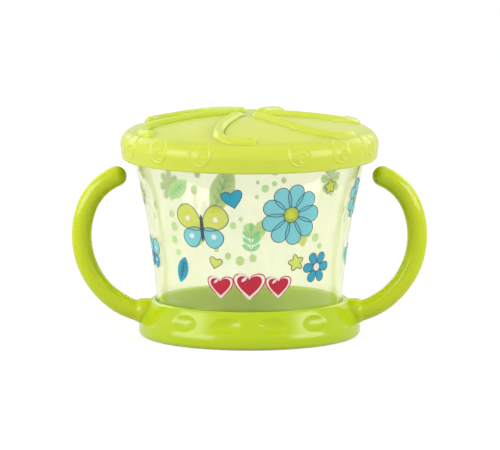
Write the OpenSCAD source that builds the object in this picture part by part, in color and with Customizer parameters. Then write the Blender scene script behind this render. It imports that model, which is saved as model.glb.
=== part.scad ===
// Toddler snack container: a clear flared cup in a base ring with two open
// handles, under a soft lid whose top is cut into curved flaps that a hand
// pushes down. Millimetres, +Z up, origin on the table under the cup's centre,
// front towards -Y.

/* [Cup] */
// Outer radius of the cup at its floor
cup_foot_r = 36; // [33:0.5:39]
// Outer radius of the cup under its rim
cup_top_r = 46.6; // [44:0.2:48]
// Height of the cup from its underside to its rim
cup_h = 75.2; // [65:0.5:90]
// Share of the cup's flare that is straight, the rest curves outward
cup_straight = 0.24; // [0:0.02:1]
// Thickness of the cup's wall
cup_wall = 1.6; // [1.2:0.1:2.2]
// Thickness of the cup's floor
floor_t = 2; // [1.4:0.1:3]
// How far the rim's bead stands out from the wall
rim_out = 1.6; // [1:0.1:2.2]
// Height of the rim's bead
rim_h = 3.4; // [2.6:0.1:4.4]

/* [Base] */
// Height of the base ring
base_h = 14.5; // [12.5:0.5:18]
// How far the ring's foot stands out from the foot of the cup
base_spread = 7.7; // [6.5:0.1:9.5]
// Thickness of the ring's top edge
base_edge_t = 2.4; // [1.8:0.1:3.2]
// Height of the crease between the ring's sloping wall and its foot
crease_z = 5.6; // [4.6:0.1:6.4]
// Height of the base's floor, which the cup stands on
base_floor_z = 2.4; // [1.8:0.1:3]
// Places for dimples round the ring, the two at the handles staying bare
dimple_places = 14; // [10:2:18]
// Width of a dimple
dimple_w = 12; // [9:0.5:14]
// Height of a dimple
dimple_h = 6.6; // [5:0.2:7]
// Depth of a dimple
dimple_d = 0.9; // [0.5:0.1:1.2]
// Ribs in each half of the channel under the ring
rib_count = 8; // [4:1:12]
// Thickness of a rib
rib_t = 1.2; // [0.8:0.1:2]

/* [Handles] */
// Half of the width over both handles
half_span = 70.3; // [66:0.1:76]
// Radius of the handle's main curve, at its middle line
bow_r = 31.6; // [29:0.2:34]
// Height of the middle of the handle where it meets the base
root_z = 9.3; // [8.4:0.1:9.8]
// Thickness of the handle where it meets the base
root_d = 8.4; // [7.6:0.1:9.2]
// Thickness of the handle at its middle
grip_d = 7.9; // [6.5:0.1:9]
// Thickness of the handle at its tip
tip_d = 8.1; // [7:0.1:9]
// Angle that the main curve turns through above the root
bow_turn = 96; // [88:1:100]
// Radius of the tighter curve at the tip
tip_r = 21; // [18:0.5:26]
// Angle that the tip's curve turns through
tip_turn = 44; // [34:1:48]

/* [Lid] */
// Thickness of the lid's side, level with the cup's rim
side_t = 2.1; // [1.6:0.1:3]
// Height of the lid's top over the cup's rim
lid_rise = 10.3; // [8.5:0.1:13]
// Radius of the dome's curve
dome_r = 186; // [140:2:240]
// Radius of the shoulder between dome and skirt
shoulder_r = 6.5; // [4.5:0.1:7.5]
// Thickness of the dome and the flaps
lid_t = 2; // [1.6:0.1:2.4]
// Depth of the skirt below the cup's rim
skirt_h = 7.3; // [6:0.1:9]
// How far the skirt draws in towards its hem
skirt_in = 0.6; // [0.2:0.1:1]
// Thickness of the skirt's hem
hem_t = 2; // [1.4:0.1:2.4]
// Places for embossed circles round the skirt, every fourth staying bare
circle_places = 16; // [12:4:20]
// Radius of an embossed circle
circle_r = 4.5; // [3:0.1:4.8]
// Height of the embossing
circle_rise = 0.35; // [0.2:0.05:0.6]

/* [Flaps] */
// Width of the plain land between the slits and the lid's side
land_w = 8; // [7:0.1:10]
// Width of a slit
slit_w = 0.5; // [0.4:0.05:0.7]
// Sideways swing of the slit's outer part
slit_swing = 19; // [16:0.5:21]
// Height of the bead that follows the outer side of each slit
bead_h = 2; // [1:0.1:2.4]
// Width of that bead
bead_w = 3.8; // [3:0.1:4.4]
// Distance that the bead runs on past the slit's outer end
bead_past = 2.6; // [2:0.1:3.4]

/* [Fits] */
// Gap between the cup and the base ring
seat_gap = 0.1; // [0.05:0.05:0.3]
// Gap between the cup's rim and the lid round it
rim_gap = 0.7; // [0.4:0.1:1]
// Gap between the cup's rim and the lid's snap ridge
snap_gap = 0.15; // [0.1:0.05:0.3]
// Running gap of a flap's root pin in the lid
hinge_gap = 0.07; // [0.05:0.01:0.1]

/* [Hidden] */
flap_count = 6;       // as many as the list names
$fn = 96;

clear = "#f0f5c8";
lime = "#c5d82f";
soft_lime = "#dbe45a";

far = 200;            // longer than anything in the object
cut = 1;              // how far a cutting tool runs past a face
rim_z = base_floor_z + cup_h;
foot_r = cup_foot_r + base_spread;
stub_proud = 0.5;     // how far the stub's face stands out from the foot
root_x = foot_r + stub_proud;

// ---- curves ----

// Points of an arc about c in the XZ or XY plane, from angle a0 to a1
function arc(c, r, a0, a1, n) =
    [for (i = [0 : n]) let (a = a0 + (a1 - a0) * i / n) c + r * [cos(a), sin(a)]];
// Eases from 0 to 1 as x goes from a to b
function ease(a, b, x) = let (t = max(0, min(1, (x - a) / (b - a)))) t * t * (3 - 2 * t);
function mix(a, b, t) = a + (b - a) * t;
function turn(p, a) = [p.x * cos(a) - p.y * sin(a), p.x * sin(a) + p.y * cos(a)];
function unit(v) = v / norm(v);
function reversed(list) = [for (i = [len(list) - 1 : -1 : 0]) list[i]];

function quad(a, b, c, d) = [[a, b, c], [a, c, d]];

// A closed slab between two grids of points, which have as many rows and columns
module slab(top, under) {
    n = len(top[0]);
    rows = len(top) - 1;
    low = n * (rows + 1);
    faces = concat(
        [for (k = [0 : rows - 1], j = [0 : n - 2])
            let (a = k * n + j) each quad(a + n, a + n + 1, a + 1, a)],
        [for (k = [0 : rows - 1], j = [0 : n - 2])
            let (a = low + k * n + j) each quad(a, a + 1, a + n + 1, a + n)],
        [for (k = [0 : rows - 1]) let (a = k * n) each quad(a + n, a, a + low, a + n + low)],
        [for (k = [0 : rows - 1]) let (a = k * n + n - 1) each quad(a, a + n, a + n + low, a + low)],
        [for (j = [0 : n - 2]) each quad(j, j + 1, j + 1 + low, j + low)],
        [for (j = [0 : n - 2]) let (a = rows * n + j) each quad(a + 1, a, a + low, a + 1 + low)]);
    polyhedron([for (grid = [top, under], row = grid) each row], faces, convexity = 4);
}

// ---- cup ----

cup_steps = 16;
foot_round = 1.6;
// Outer radius of the cup at a height over its underside
function cup_out(h) = let (t = h / (cup_h - rim_h))
    cup_foot_r + (cup_top_r - cup_foot_r) * (cup_straight * t + (1 - cup_straight) * t * t);
rim_r = cup_top_r + rim_out;

module cup() {
    wall_h = cup_h - rim_h;
    outside = [for (i = [0 : cup_steps])
        let (h = mix(foot_round, wall_h, i / cup_steps)) [cup_out(h), h]];
    inside = [for (i = [cup_steps : -1 : 0])
        let (h = mix(floor_t + foot_round, wall_h, i / cup_steps)) [cup_out(h) - cup_wall, h]];
    bead_r = rim_h / 3;
    inner_foot = cup_out(floor_t) - cup_wall - foot_round;
    color(clear, 0.5) translate([0, 0, base_floor_z]) rotate_extrude() polygon(concat(
        [[0, 0]],
        arc([cup_out(foot_round) - foot_round, foot_round], foot_round, -90, -10, 6),
        outside,
        [[rim_r - bead_r / 2, wall_h + 0.2]],
        arc([rim_r - bead_r, cup_h - bead_r], bead_r, -30, 90, 8),
        [[cup_top_r - cup_wall + 0.4, cup_h], [cup_top_r - cup_wall, cup_h - 0.4]],
        inside,
        arc([inner_foot, floor_t + foot_round], foot_round, -10, -90, 6),
        [[0, floor_t]]));
}

// ---- base ring ----

edge_r = cup_out(base_h - base_floor_z) + seat_gap + base_edge_t;
foot_round_r = 2;
foot_draw = 0.5;      // how far the foot draws in up to the crease
inner_foot_t = 2.4;   // thickness of the foot's inner and outer walls
outer_foot_t = 3.1;
seat_relief = 0.8;    // how far the underside of that floor stays off the table
wall_tilt = atan2(foot_r - foot_draw - edge_r, base_h - crease_z);
channel_in = cup_foot_r + seat_gap + inner_foot_t;
channel_out = foot_r - outer_foot_t;
channel_h = crease_z + 0.6;

// The ring's section, with the cup's own curve inside it
function ring_outline() = concat(
    [[0, base_floor_z], [0, seat_relief],
     [channel_in - 2 * seat_relief, seat_relief], [channel_in - seat_relief, 0]],
    arc([foot_r - foot_round_r, foot_round_r], foot_round_r, -90, -8, 6),
    [[foot_r, 1.6 * foot_round_r], [foot_r - foot_draw, crease_z]],
    arc([edge_r - base_edge_t / 2, base_h - base_edge_t / 2], base_edge_t / 2, wall_tilt, 180, 8),
    [for (i = [8 : -1 : 0])
        let (z = mix(base_floor_z + foot_round, base_h - base_edge_t / 2, i / 8))
        [cup_out(z - base_floor_z) + seat_gap, z]],
    arc([cup_out(foot_round) - foot_round, base_floor_z + foot_round], foot_round + seat_gap, -10, -70, 5),
    [[cup_out(foot_round) - foot_round / 2, base_floor_z]]);

// A dimple's tool: a barrel that lies along the ring, deep in the wall
module dimple_tool() {
    bend = foot_r - 2;
    groove = dimple_h * dimple_h / (8 * dimple_d);
    barrel = 1 / (8 * dimple_d / (dimple_w * dimple_w) - 1 / bend);
    rotate([90, 0, 0]) rotate_extrude() intersection() {
        translate([groove - barrel, 0]) circle(barrel, $fn = 360);
        translate([0, -dimple_w]) square([groove + cut, 2 * dimple_w]);
    }
}

module base_ring() {
    dimple_z = (crease_z + base_h) / 2 - 0.1;
    dimple_r = mix(foot_r - foot_draw, edge_r, (dimple_z - crease_z) / (base_h - crease_z));
    reach = dimple_h * dimple_h / (8 * dimple_d) - dimple_d;
    color(lime) difference() {
        union() {
            rotate_extrude() polygon(ring_outline());
            for (side = [-1, 1]) stub(side);
        }
        channel();
        for (i = [0 : dimple_places - 1]) {
            a = (i + 0.5) * 360 / dimple_places - 90;
            if (abs(cos(a)) < cos(90 / dimple_places))
                rotate([0, 0, a]) translate([dimple_r, 0, dimple_z]) rotate([0, -wall_tilt, 0])
                    translate([reach, 0, 0]) dimple_tool();
        }
    }
}

// The stub that a handle stands on, outside the cup's place
module stub(side) {
    start = cup_foot_r + seat_gap + base_spread / 2;
    translate([side * start, 0, root_z]) rotate([0, side * 90, 0])
        cylinder(r = root_d / 2, h = root_x - start);
}

// The channel under the ring, in two halves with ribs, solid beside the handles
module channel() {
    half = 180 / rib_count;
    difference() {
        translate([0, 0, -cut]) difference() {
            cylinder(r = channel_out, h = channel_h + cut);
            translate([0, 0, -cut]) cylinder(r = channel_in, h = channel_h + 3 * cut);
        }
        translate([-far / 2, -root_d / 2, -2 * cut]) cube([far, root_d, channel_h + 4 * cut]);
        for (side = [-90, 90], i = [1 : rib_count - 1])
            rotate([0, 0, side - 90 + i * half]) translate([0, -rib_t / 2, -2 * cut])
                cube([far / 2, rib_t, channel_h + 4 * cut]);
    }
}

// ---- handles ----

bow_x = half_span - grip_d / 2 - bow_r;
bow_z = root_z + sqrt(bow_r * bow_r - pow(root_x - bow_x, 2));
root_a = atan2(root_z - bow_z, root_x - bow_x);
tip_a = root_a + bow_turn;
tip_c = [bow_x, bow_z] + (bow_r - tip_r) * [cos(tip_a), sin(tip_a)];

handle_steps = 27;
cap_steps = 5;
handle_sides = 20;
bow_share = bow_r * bow_turn / (bow_r * bow_turn + tip_r * tip_turn);

// Thickness of the handle at a share of its length from root to tip
function handle_d(s) = mix(mix(root_d, grip_d, ease(0, 0.28, s)), tip_d, ease(0.6, 1, s));
// A station is [middle, angle of the section, radius], in the XZ plane. The
// root's section stands upright, to meet the base's stub face to face.
function station(s) = s < bow_share
    ? let (a = root_a + bow_turn * s / bow_share)
      [[bow_x, bow_z] + bow_r * [cos(a), sin(a)], mix(-90, a, ease(0, 0.14, s)), handle_d(s) / 2]
    : let (a = tip_a + tip_turn * (s - bow_share) / (1 - bow_share))
      [tip_c + tip_r * [cos(a), sin(a)], a, handle_d(s) / 2];
// The rounded end, past the last station
function cap_station(t) =
    let (s = station(1), along = turn([0, 1], s[1]))
    [s[0] + s[2] * sin(90 * t) * along, s[1], s[2] * cos(90 * t)];
function section(s) = [for (k = [0 : handle_sides - 1])
    let (a = 360 * k / handle_sides, u = s[2] * cos(a))
    [s[0].x + u * cos(s[1]), s[2] * sin(a), s[0].y + u * sin(s[1])]];

// The right handle, lofted from the root's face to its rounded tip
module handle() {
    stations = concat([for (i = [0 : handle_steps]) station(i / handle_steps)],
                      [for (i = [1 : cap_steps - 1]) cap_station(i / cap_steps)]);
    pole = cap_station(1)[0];
    n = handle_sides;
    last = len(stations) - 1;
    points = concat([for (s = stations) each section(s)], [[pole.x, 0, pole.y]]);
    faces = concat(
        [[for (k = [0 : n - 1]) k]],
        [for (i = [0 : last - 1], k = [0 : n - 1])
            let (a = i * n + k, b = i * n + (k + 1) % n)
            each [[a + n, b + n, b], [a + n, b, a]]],
        [for (k = [0 : n - 1]) [len(points) - 1, last * n + (k + 1) % n, last * n + k]]);
    polyhedron(points, faces, convexity = 4);
}

module handle_left() { color(lime) mirror([1, 0, 0]) handle(); }
module handle_right() { color(lime) handle(); }

// ---- lid ----

skirt_r = rim_r + rim_gap;              // inside of the skirt
lid_r = skirt_r + side_t;
slit_r = lid_r - land_w;                // from the lid's centre to a slit's outer end
dome_z = rim_z + lid_rise - dome_r;     // height of the centre of the dome's curve
shoulder_c = [lid_r - shoulder_r,
              dome_z + sqrt(pow(dome_r - shoulder_r, 2) - pow(lid_r - shoulder_r, 2))];
dome_a = atan2(shoulder_c.y - dome_z, shoulder_c.x);    // where the dome meets the shoulder
hem_z = rim_z - skirt_h;

function dome(r) = dome_z + sqrt(dome_r * dome_r - r * r);

// The lid's outer curve from radius r0 on the dome to the skirt, grown by g
function lid_curve(r0, g) = concat(
    arc([0, dome_z], dome_r + g, acos(r0 / dome_r), dome_a, 6),
    arc(shoulder_c, shoulder_r + g, dome_a - 8, 0, 8),
    [[lid_r + g - skirt_in, hem_z + hem_t / 2]]);

seat_lap = 0.6;       // how far the lid's seat stays outside the cup's inner edge
seat_rise = 1.6;      // height of the slope inside that seat
ridge_h = 0.8;        // height of the snap ridge's flat

module lid_outline() {
    inner_r = dome_r - lid_t;
    seat_in = cup_top_r - cup_wall + seat_lap;
    hole_in = slit_r / 2;
    polygon(concat(
        lid_curve(hole_in, 0),
        arc([lid_r - skirt_in - hem_t / 2, hem_z + hem_t / 2], hem_t / 2, -10, -170, 6),
        [[lid_r - skirt_in - hem_t, hem_z + hem_t / 2],
         [rim_r + snap_gap, rim_z - rim_h - 2 * ridge_h],
         [rim_r + snap_gap, rim_z - rim_h - ridge_h],
         [skirt_r, rim_z - rim_h],
         [skirt_r, rim_z],
         [seat_in, rim_z],
         [seat_in - 1, rim_z + seat_rise]],
        arc([0, dome_z], inner_r, acos((seat_in - 2.4) / inner_r), acos(hole_in / inner_r), 6)));
}

// The part of that curve that carries the embossing
function skirt_curve(g) = concat(
    [[shoulder_c.x - 3, dome(shoulder_c.x - 3) + g]],
    arc(shoulder_c, shoulder_r + g, dome_a, 0, 5),
    [[lid_r + g - skirt_in, hem_z + hem_t / 2]]);

circle_t = 0.55;      // width of an embossed line

// Thin rings that stand out from the skirt, each with a smaller one inside it
module embossing() {
    intersection() {
        for (i = [0 : circle_places - 1]) if (i % (circle_places / 4) != 0)
            rotate([0, 0, i * 360 / circle_places]) translate([slit_r, 0, rim_z]) rotate([0, 90, 0]) {
                tube(circle_r, circle_t, 2 * land_w);
                translate([circle_r * 0.3, circle_r * 0.28, 0]) tube(circle_r * 0.45, circle_t, 2 * land_w);
            }
        rotate_extrude() polygon(concat(skirt_curve(circle_rise), reversed(skirt_curve(-circle_t))));
    }
}

module tube(r, t, h) {
    difference() {
        cylinder(r = r, h = h, $fn = 48);
        translate([0, 0, -cut]) cylinder(r = r - t, h = h + 2 * cut, $fn = 48);
    }
}

module lid_shell() {
    color(soft_lime, 0.8) union() {
        difference() {
            rotate_extrude() lid_outline();
            translate([0, 0, hem_z]) linear_extrude(far / 2) polygon(
                [for (i = [1 : flap_count]) each [for (p = hole_side()) turn(p, flap_angle(i))]]);
            for (i = [1 : flap_count]) rotate([0, 0, flap_angle(i)]) {
                hinge_groove();
                slit_relief();
            }
        }
        embossing();
        for (i = [1 : flap_count]) rotate([0, 0, flap_angle(i) + half_a]) rim_bead();
    }
}

// The lid's own part of the bead beside the slit at the front: from a rounded
// end past the slit to the root of the flap that carries the rest of it
bead_rows = 6;
round_rows = 4;
bead_lap = 0.1;       // from the slit's edge to the bead
bead_sink = 0.3;      // how deep the lid's part of the bead is set into the dome
bead_relief = 1.4;    // room on both sides of the root, where the bead leans back as the flap lifts

module rim_bead() {
    half = bead_w / 2;
    middle = slit_w / 2 + bead_lap + half;
    shares = [for (j = [0 : bead_cols]) (1 + cos(180 * j / bead_cols)) / 2];
    grid = concat(
        [for (k = [0 : round_rows - 1]) let (a = mix(6, 90, k / round_rows))
            [for (f = shares)
                let (p = beside(0, -middle - (2 * f - 1) * half * sin(a))
                         - (bead_past - half + half * cos(a)) * slit_dir(0))
                [p.x, p.y, bead(f) * sin(a)]]],
        [for (k = [0 : bead_rows])
            [for (f = shares)
                let (g = middle + (2 * f - 1) * half,
                     t = cross_t(-hinge_dist - root_gap - bead_relief, g) * k / bead_rows,
                     p = beside(t, -g))
                [p.x, p.y, bead(f)]]]);
    slab([for (row = grid) [for (p = row) [p.x, p.y, dome(norm([p.x, p.y])) + p.z]]],
         [for (row = grid) [for (p = row) [p.x, p.y, dome(norm([p.x, p.y])) - bead_sink]]]);
}

// ---- flaps ----
// Each flap is drawn with its root along X, at -Y, and its tip at the centre.

half_a = 180 / flap_count;
hinge_dist = slit_r * cos(half_a);
hinge_half = slit_r * sin(half_a);
hinge_r = lid_t / 2;
hinge_z = dome(norm([0.6 * hinge_half, hinge_dist])) - lid_t / 2;
root_blend = 6;       // from the root to where a flap takes the dome's curve
root_gap = 0.15;      // from the root's plane to the lid's edge
pin_inset = 3.5;      // from the slit's outer end to the root's pin
end_play = 0.3;       // past each end of the pin
tip_plain = 2;        // the bead fades out between these distances from the centre
tip_full = 8;

function flap_angle(i) = half_a * (2 * i - 1);

// The slit's middle line from its outer end to the lid's centre, at the front
slit_hook = 5;        // sideways swing of the slit's inner part
slit_bends = [[0, -slit_r], [-slit_swing, -1.047 * slit_r], [-slit_hook, -0.326 * slit_r], [0, 0]];
function slit(t) = let (u = 1 - t, b = slit_bends)
    u * u * u * b[0] + 3 * u * u * t * b[1] + 3 * u * t * t * b[2] + t * t * t * b[3];
function slit_dir(t) = let (u = 1 - t, b = slit_bends)
    unit(u * u * (b[1] - b[0]) + 2 * u * t * (b[2] - b[1]) + t * t * (b[3] - b[2]));
// A point beside the slit: to its right, where its own flap lies, for g over 0
function beside(t, g) = let (d = slit_dir(t)) slit(t) + g * [d.y, -d.x];
function lead_at(t, g) = turn(beside(t, g), -half_a);
function trail_at(t, g) = turn(beside(t, -g), half_a);

// Where the next slit crosses this flap's root line, by halving
function cross_t(y, g, lo = 0.06, hi = 0.9, n = 24) =
    n == 0 ? lo : let (m = (lo + hi) / 2)
    trail_at(m, g).y < y ? cross_t(y, g, m, hi, n - 1) : cross_t(y, g, lo, m, n - 1);

// One flap's share of the hole's outline in the lid: its root, and the next slit's outer part
hole_steps = 9;
function hole_side() =
    let (y = -hinge_dist - root_gap, t1 = cross_t(y, slit_w / 2))
    concat([[-hinge_half, y]],
           [for (k = [hole_steps : -1 : 0]) trail_at(t1 * k / hole_steps, slit_w / 2)]);

module hinge_groove() {
    r = hinge_r + hinge_gap;
    end = trail_at(cross_t(-hinge_dist, 0), 0).x + 1;
    long = hinge_half + end_play + end;
    translate([-hinge_half - end_play, -hinge_dist, hinge_z]) {
        rotate([0, 90, 0]) cylinder(r = r, h = long);
        translate([0, -0.95 * hinge_r, -3 * lid_t]) cube([long, 2 * hinge_r, 3 * lid_t - hinge_r / 2]);
    }
}

// Room under the slit's outer part, where the flap's edge swings outward
module slit_relief() {
    t1 = cross_t(-hinge_dist - root_gap, slit_w / 2);
    wide = 1.2 * lid_t;
    translate([0, 0, hem_z]) linear_extrude(dome(slit_r) - 0.3 * lid_t - hem_z) polygon(concat(
        [for (k = [0 : hole_steps]) trail_at(t1 * k / hole_steps, wide)],
        [for (k = [hole_steps : -1 : 0]) trail_at(t1 * k / hole_steps, -1)]));
}

flap_rows = 20;
flap_cols = 5;        // columns across the plain part of a flap
bead_cols = 6;        // and across its bead
tip_t = 0.975;        // how far along its slits a flap reaches
set_back = 0.9;       // extra gap beside the root, where the next flap's lobe passes

// Height of the bead at a share of its width
function bead(f) = bead_h * sqrt(max(0, 1 - pow(2 * f - 1, 2)));

// Points of one flap: rows from root to tip, columns from leading to trailing
// edge, the last ones across the bead. The third number is the bead's height.
function flap_points() =
    let (t0 = cross_t(-hinge_dist, 0))
    [for (k = [0 : flap_rows])
        let (s = k / flap_rows, t = tip_t * s,
             tt = mix(t0, tip_t, s),
             a = lead_at(max(t, 0.004), slit_w / 2),
             b = trail_at(tt, slit_w / 2 + set_back * (1 - ease(0, 0.25, s))),
             lead = [a.x, max(a.y, -hinge_dist)],
             trail = k == 0 ? [b.x, -hinge_dist] : b,
             row = trail - lead,
             edge = turn(slit_dir(tt), half_a),
             wide = abs(edge.x * row.y - edge.y * row.x),
             part = min(bead_w / wide, 0.6),
             full = ease(tip_plain, tip_full, norm(trail)) * ease(0, bead_relief, trail.y + hinge_dist))
        [for (j = [0 : flap_cols + bead_cols])
            let (f = j < flap_cols ? 0 : (1 - cos(180 * (j - flap_cols) / bead_cols)) / 2,
                 g = j < flap_cols ? (1 - part) * j / flap_cols : 1 - part * (1 - f),
                 p = lead + g * row)
            [p.x, p.y, bead(f) * full]]];
function flap_top(p) =
    let (r = norm([p.x, p.y]), d = p.y + hinge_dist)
    mix(hinge_z + 0.95 * hinge_r, dome(r), ease(0, root_blend, d)) + p.z;
function flap_under(p) =
    let (r = norm([p.x, p.y]), d = p.y + hinge_dist)
    mix(hinge_z - 0.95 * hinge_r, dome(r) - lid_t, ease(0, root_blend, d));

module flap() {
    grid = flap_points();
    slab([for (row = grid) [for (p = row) [p.x, p.y, flap_top(p)]]],
         [for (row = grid) [for (p = row) [p.x, p.y, flap_under(p)]]]);
    root_start = -hinge_half + pin_inset;
    root_end = grid[0][flap_cols + bead_cols].x - end_play;
    translate([root_start, -hinge_dist, hinge_z]) rotate([0, 90, 0])
        cylinder(r = hinge_r, h = root_end - root_start);
}

module flap_at(i) { color(soft_lime, 0.85) rotate([0, 0, flap_angle(i)]) flap(); }

cup();
base_ring();
handle_left();
handle_right();
lid_shell();
for (i = [1 : flap_count])
    flap_at(i);
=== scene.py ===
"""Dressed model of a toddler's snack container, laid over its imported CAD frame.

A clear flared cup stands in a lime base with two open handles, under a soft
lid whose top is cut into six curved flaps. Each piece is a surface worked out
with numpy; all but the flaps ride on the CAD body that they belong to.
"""

import math

import bpy
import numpy as np
from bpy.props import FloatProperty, FloatVectorProperty, IntProperty, PointerProperty
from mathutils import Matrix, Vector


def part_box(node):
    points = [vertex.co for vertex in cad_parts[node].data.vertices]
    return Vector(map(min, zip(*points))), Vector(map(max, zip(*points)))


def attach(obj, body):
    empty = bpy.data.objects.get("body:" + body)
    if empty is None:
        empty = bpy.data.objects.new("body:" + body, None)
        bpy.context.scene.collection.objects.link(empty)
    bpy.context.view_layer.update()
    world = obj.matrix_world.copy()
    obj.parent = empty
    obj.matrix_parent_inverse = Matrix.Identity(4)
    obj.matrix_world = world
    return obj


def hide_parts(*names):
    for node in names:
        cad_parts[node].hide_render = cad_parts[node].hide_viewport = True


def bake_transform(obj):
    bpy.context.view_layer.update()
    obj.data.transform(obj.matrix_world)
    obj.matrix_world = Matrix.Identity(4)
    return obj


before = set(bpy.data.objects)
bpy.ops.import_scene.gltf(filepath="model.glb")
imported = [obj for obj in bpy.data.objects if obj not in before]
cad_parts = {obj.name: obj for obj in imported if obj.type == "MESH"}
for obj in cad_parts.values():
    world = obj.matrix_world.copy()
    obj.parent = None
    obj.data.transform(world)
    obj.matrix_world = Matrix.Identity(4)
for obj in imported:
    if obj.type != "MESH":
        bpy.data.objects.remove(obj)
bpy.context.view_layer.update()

bl_info = {
    "name": "Toddler snack container",
    "version": (1, 0, 0),
    "blender": (4, 5, 0),
    "location": "View3D > Sidebar > Snack container",
    "description": "Dresses the packed snack container with smooth surfaces and plastics",
    "category": "Add Mesh",
}

MM = 0.001
CUP_LOW, CUP_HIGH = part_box("cup")
_, BASE_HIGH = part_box("base_ring")
LID_LOW, LID_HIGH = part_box("lid_shell")
GRIP_LOW, GRIP_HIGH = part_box("handle_right")
FLAPS = sorted(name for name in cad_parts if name.startswith("flap_"))


# ---- sizes and colours that a user would change ----


def linear(code):
    """Linear RGBA of an sRGB hex colour."""
    c = np.array([int(code[i : i + 2], 16) for i in (1, 3, 5)]) / 255
    c = np.where(c <= 0.04045, c / 12.92, ((c + 0.055) / 1.055) ** 2.4)
    return (*(float(x) for x in c), 1.0)


def size(name, description, default):
    """A length property, given in millimetres."""
    return FloatProperty(
        name=name, description=description, default=default * MM, min=0, unit="LENGTH"
    )


def swing(name, description, default):
    """An angle property, given in degrees."""
    return FloatProperty(
        name=name, description=description, default=math.radians(default), unit="ROTATION"
    )


def paint(name, description, code):
    """A colour property, given as an sRGB hex code."""
    look = dict(default=linear(code), size=4, min=0, max=1, subtype="COLOR")
    return FloatVectorProperty(name=name, description=description, **look)


class CupSizes(bpy.types.PropertyGroup):
    foot: size("Foot radius", "Outer radius of the cup at its floor", 36)
    top: size("Top radius", "Outer radius of the cup under its rim", 46.6)
    straight: FloatProperty(
        name="Straight share",
        description="Share of the flare that is straight, the rest curves outward",
        default=0.24,
        subtype="FACTOR",
    )
    wall: size("Wall", "Thickness of the cup's wall", 1.6)
    floor: size("Floor", "Thickness of the cup's floor", 2)
    rim_out: size("Rim bead", "How far the rim's bead stands out", 1.6)
    rim_h: size("Rim height", "Height of the rim's bead", 3.4)


class BaseSizes(bpy.types.PropertyGroup):
    edge: size("Top edge", "Thickness of the base's top edge", 2.4)
    crease: size("Crease height", "Height of the crease over the table", 5.6)
    dimple_w: size("Dimple width", "Width of a dimple", 12)
    dimple_h: size("Dimple height", "Height of a dimple", 6.8)
    dimple_d: size("Dimple depth", "Depth of a dimple", 1.1)
    places: IntProperty(
        name="Dimple places",
        description="Places round the base, those beside the handles staying bare",
        default=14,
        min=4,
    )
    ribs: IntProperty(
        name="Ribs", description="Ribs in each half of the channel", default=8, min=1
    )


class HandleSizes(bpy.types.PropertyGroup):
    bow: size("Bow radius", "Radius of the main curve at its middle line", 31.6)
    bow_turn: swing("Bow turn", "Angle that the main curve turns through", 96)
    root_z: size("Root height", "Height of the handle's middle at the base", 9.3)
    root: size("Root thickness", "Thickness at the base", 8.4)
    grip: size("Grip thickness", "Thickness at the middle", 7.9)
    tip: size("Tip thickness", "Thickness at the tip", 8.1)
    tip_r: size("Tip radius", "Radius of the tighter curve at the tip", 21)
    tip_turn: swing("Tip turn", "Angle that the tighter curve turns through", 44)


class LidSizes(bpy.types.PropertyGroup):
    rise: size("Rise", "Height of the dome over the cup's rim", 10.3)
    dome: size("Dome radius", "Radius of the dome's curve", 186)
    shoulder: size("Shoulder radius", "Radius between dome and skirt", 6.5)
    sheet: size("Sheet", "Thickness of the dome and the flaps", 2)
    hem: size("Hem", "Thickness of the skirt's hem", 2)
    skirt_in: size("Draw-in", "How far the skirt draws in towards its hem", 0.6)
    slit: size("Slit radius", "Distance from the centre to a slit's outer end", 43)
    gap: size("Slit width", "Width of a slit", 0.3)
    bead: size("Bead height", "Height of the bead on the outer side of each slit", 1.9)
    bead_w: size("Bead width", "Width of that bead", 4.6)
    bead_past: size("Bead end", "How far the bead runs on past the slit's outer end", 2.6)
    circle: size("Circle radius", "Radius of an embossed circle", 4.5)
    emboss: size("Embossing", "Height of the embossing", 0.3)


class Finishes(bpy.types.PropertyGroup):
    lime: paint("Lime", "Handles", "#ced900")
    # painted shade: the base takes a darker copy of the handles' lime
    deep_lime: paint("Deep lime", "Base, whose thick wall looks deeper", "#bfd300")
    soft_lime: paint("Soft lime", "Lid and flaps", "#e5ea5a")
    clear: paint("Clear tint", "Cup, in the wall itself", "#e1eb3f")
    sky: paint("Sky blue", "Print", "#86dbe8")
    teal: paint("Teal", "Print", "#00acd2")
    olive: paint("Olive yellow", "Print", "#dce33c")
    leaf: paint("Leaf green", "Print", "#8edba4")
    pale: paint("Pale green", "Print", "#c2e69c")
    slate: paint("Slate", "Print", "#4a5560")
    crimson: paint("Crimson", "Print", "#c8203e")
    cream: paint("Cream", "Print", "#fff3ee")


class StageSettings(bpy.types.PropertyGroup):
    distance: size("Camera distance", "From the camera to the object's middle", 2600)
    elevation: swing("Camera elevation", "Angle of the camera above the table", 8)
    width: size("View width", "Width of the view at the object", 197.6)


# ---- meshes ----


def lattice(rows, cols, loop_rows=False, loop_cols=False):
    """Quads of a grid of points, four indices each. A looped side joins its last line
    to its first."""
    i = np.arange(rows if loop_rows else rows - 1)[:, None]
    j = np.arange(cols if loop_cols else cols - 1)[None, :]
    a, b = i * cols + j, i * cols + (j + 1) % cols
    up = (i + 1) % rows * cols
    return np.stack([a, b, up + (j + 1) % cols, up + j], -1).reshape(-1, 4)


def spun(profile, angles):
    """A profile of (radius, height) turned about Z: x = r cos a, y = r sin a, one row
    for each point of the profile."""
    r, z = profile[:, :1], profile[:, 1:]
    return np.stack([r * np.cos(angles), r * np.sin(angles), z + 0 * angles], axis=-1)


def poled(grid):
    """Closes a grid that is looped across its columns: the first and last row, each
    shrunk to a point, become fans."""
    rows, cols = grid.shape[:2]
    body = grid[1:-1].reshape(-1, 3)
    quads = lattice(rows - 2, cols, loop_cols=True)
    j = np.arange(cols)
    nxt = (j + 1) % cols
    first, last = len(body), len(body) + 1
    end = (rows - 3) * cols
    low = np.stack([nxt, j, first + 0 * j], -1)
    high = np.stack([end + j, end + nxt, last + 0 * j], -1)
    fans = np.concatenate([low, high])
    points = np.concatenate([body, grid[0, :1], grid[-1, :1]])
    return points, quads, fans


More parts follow.
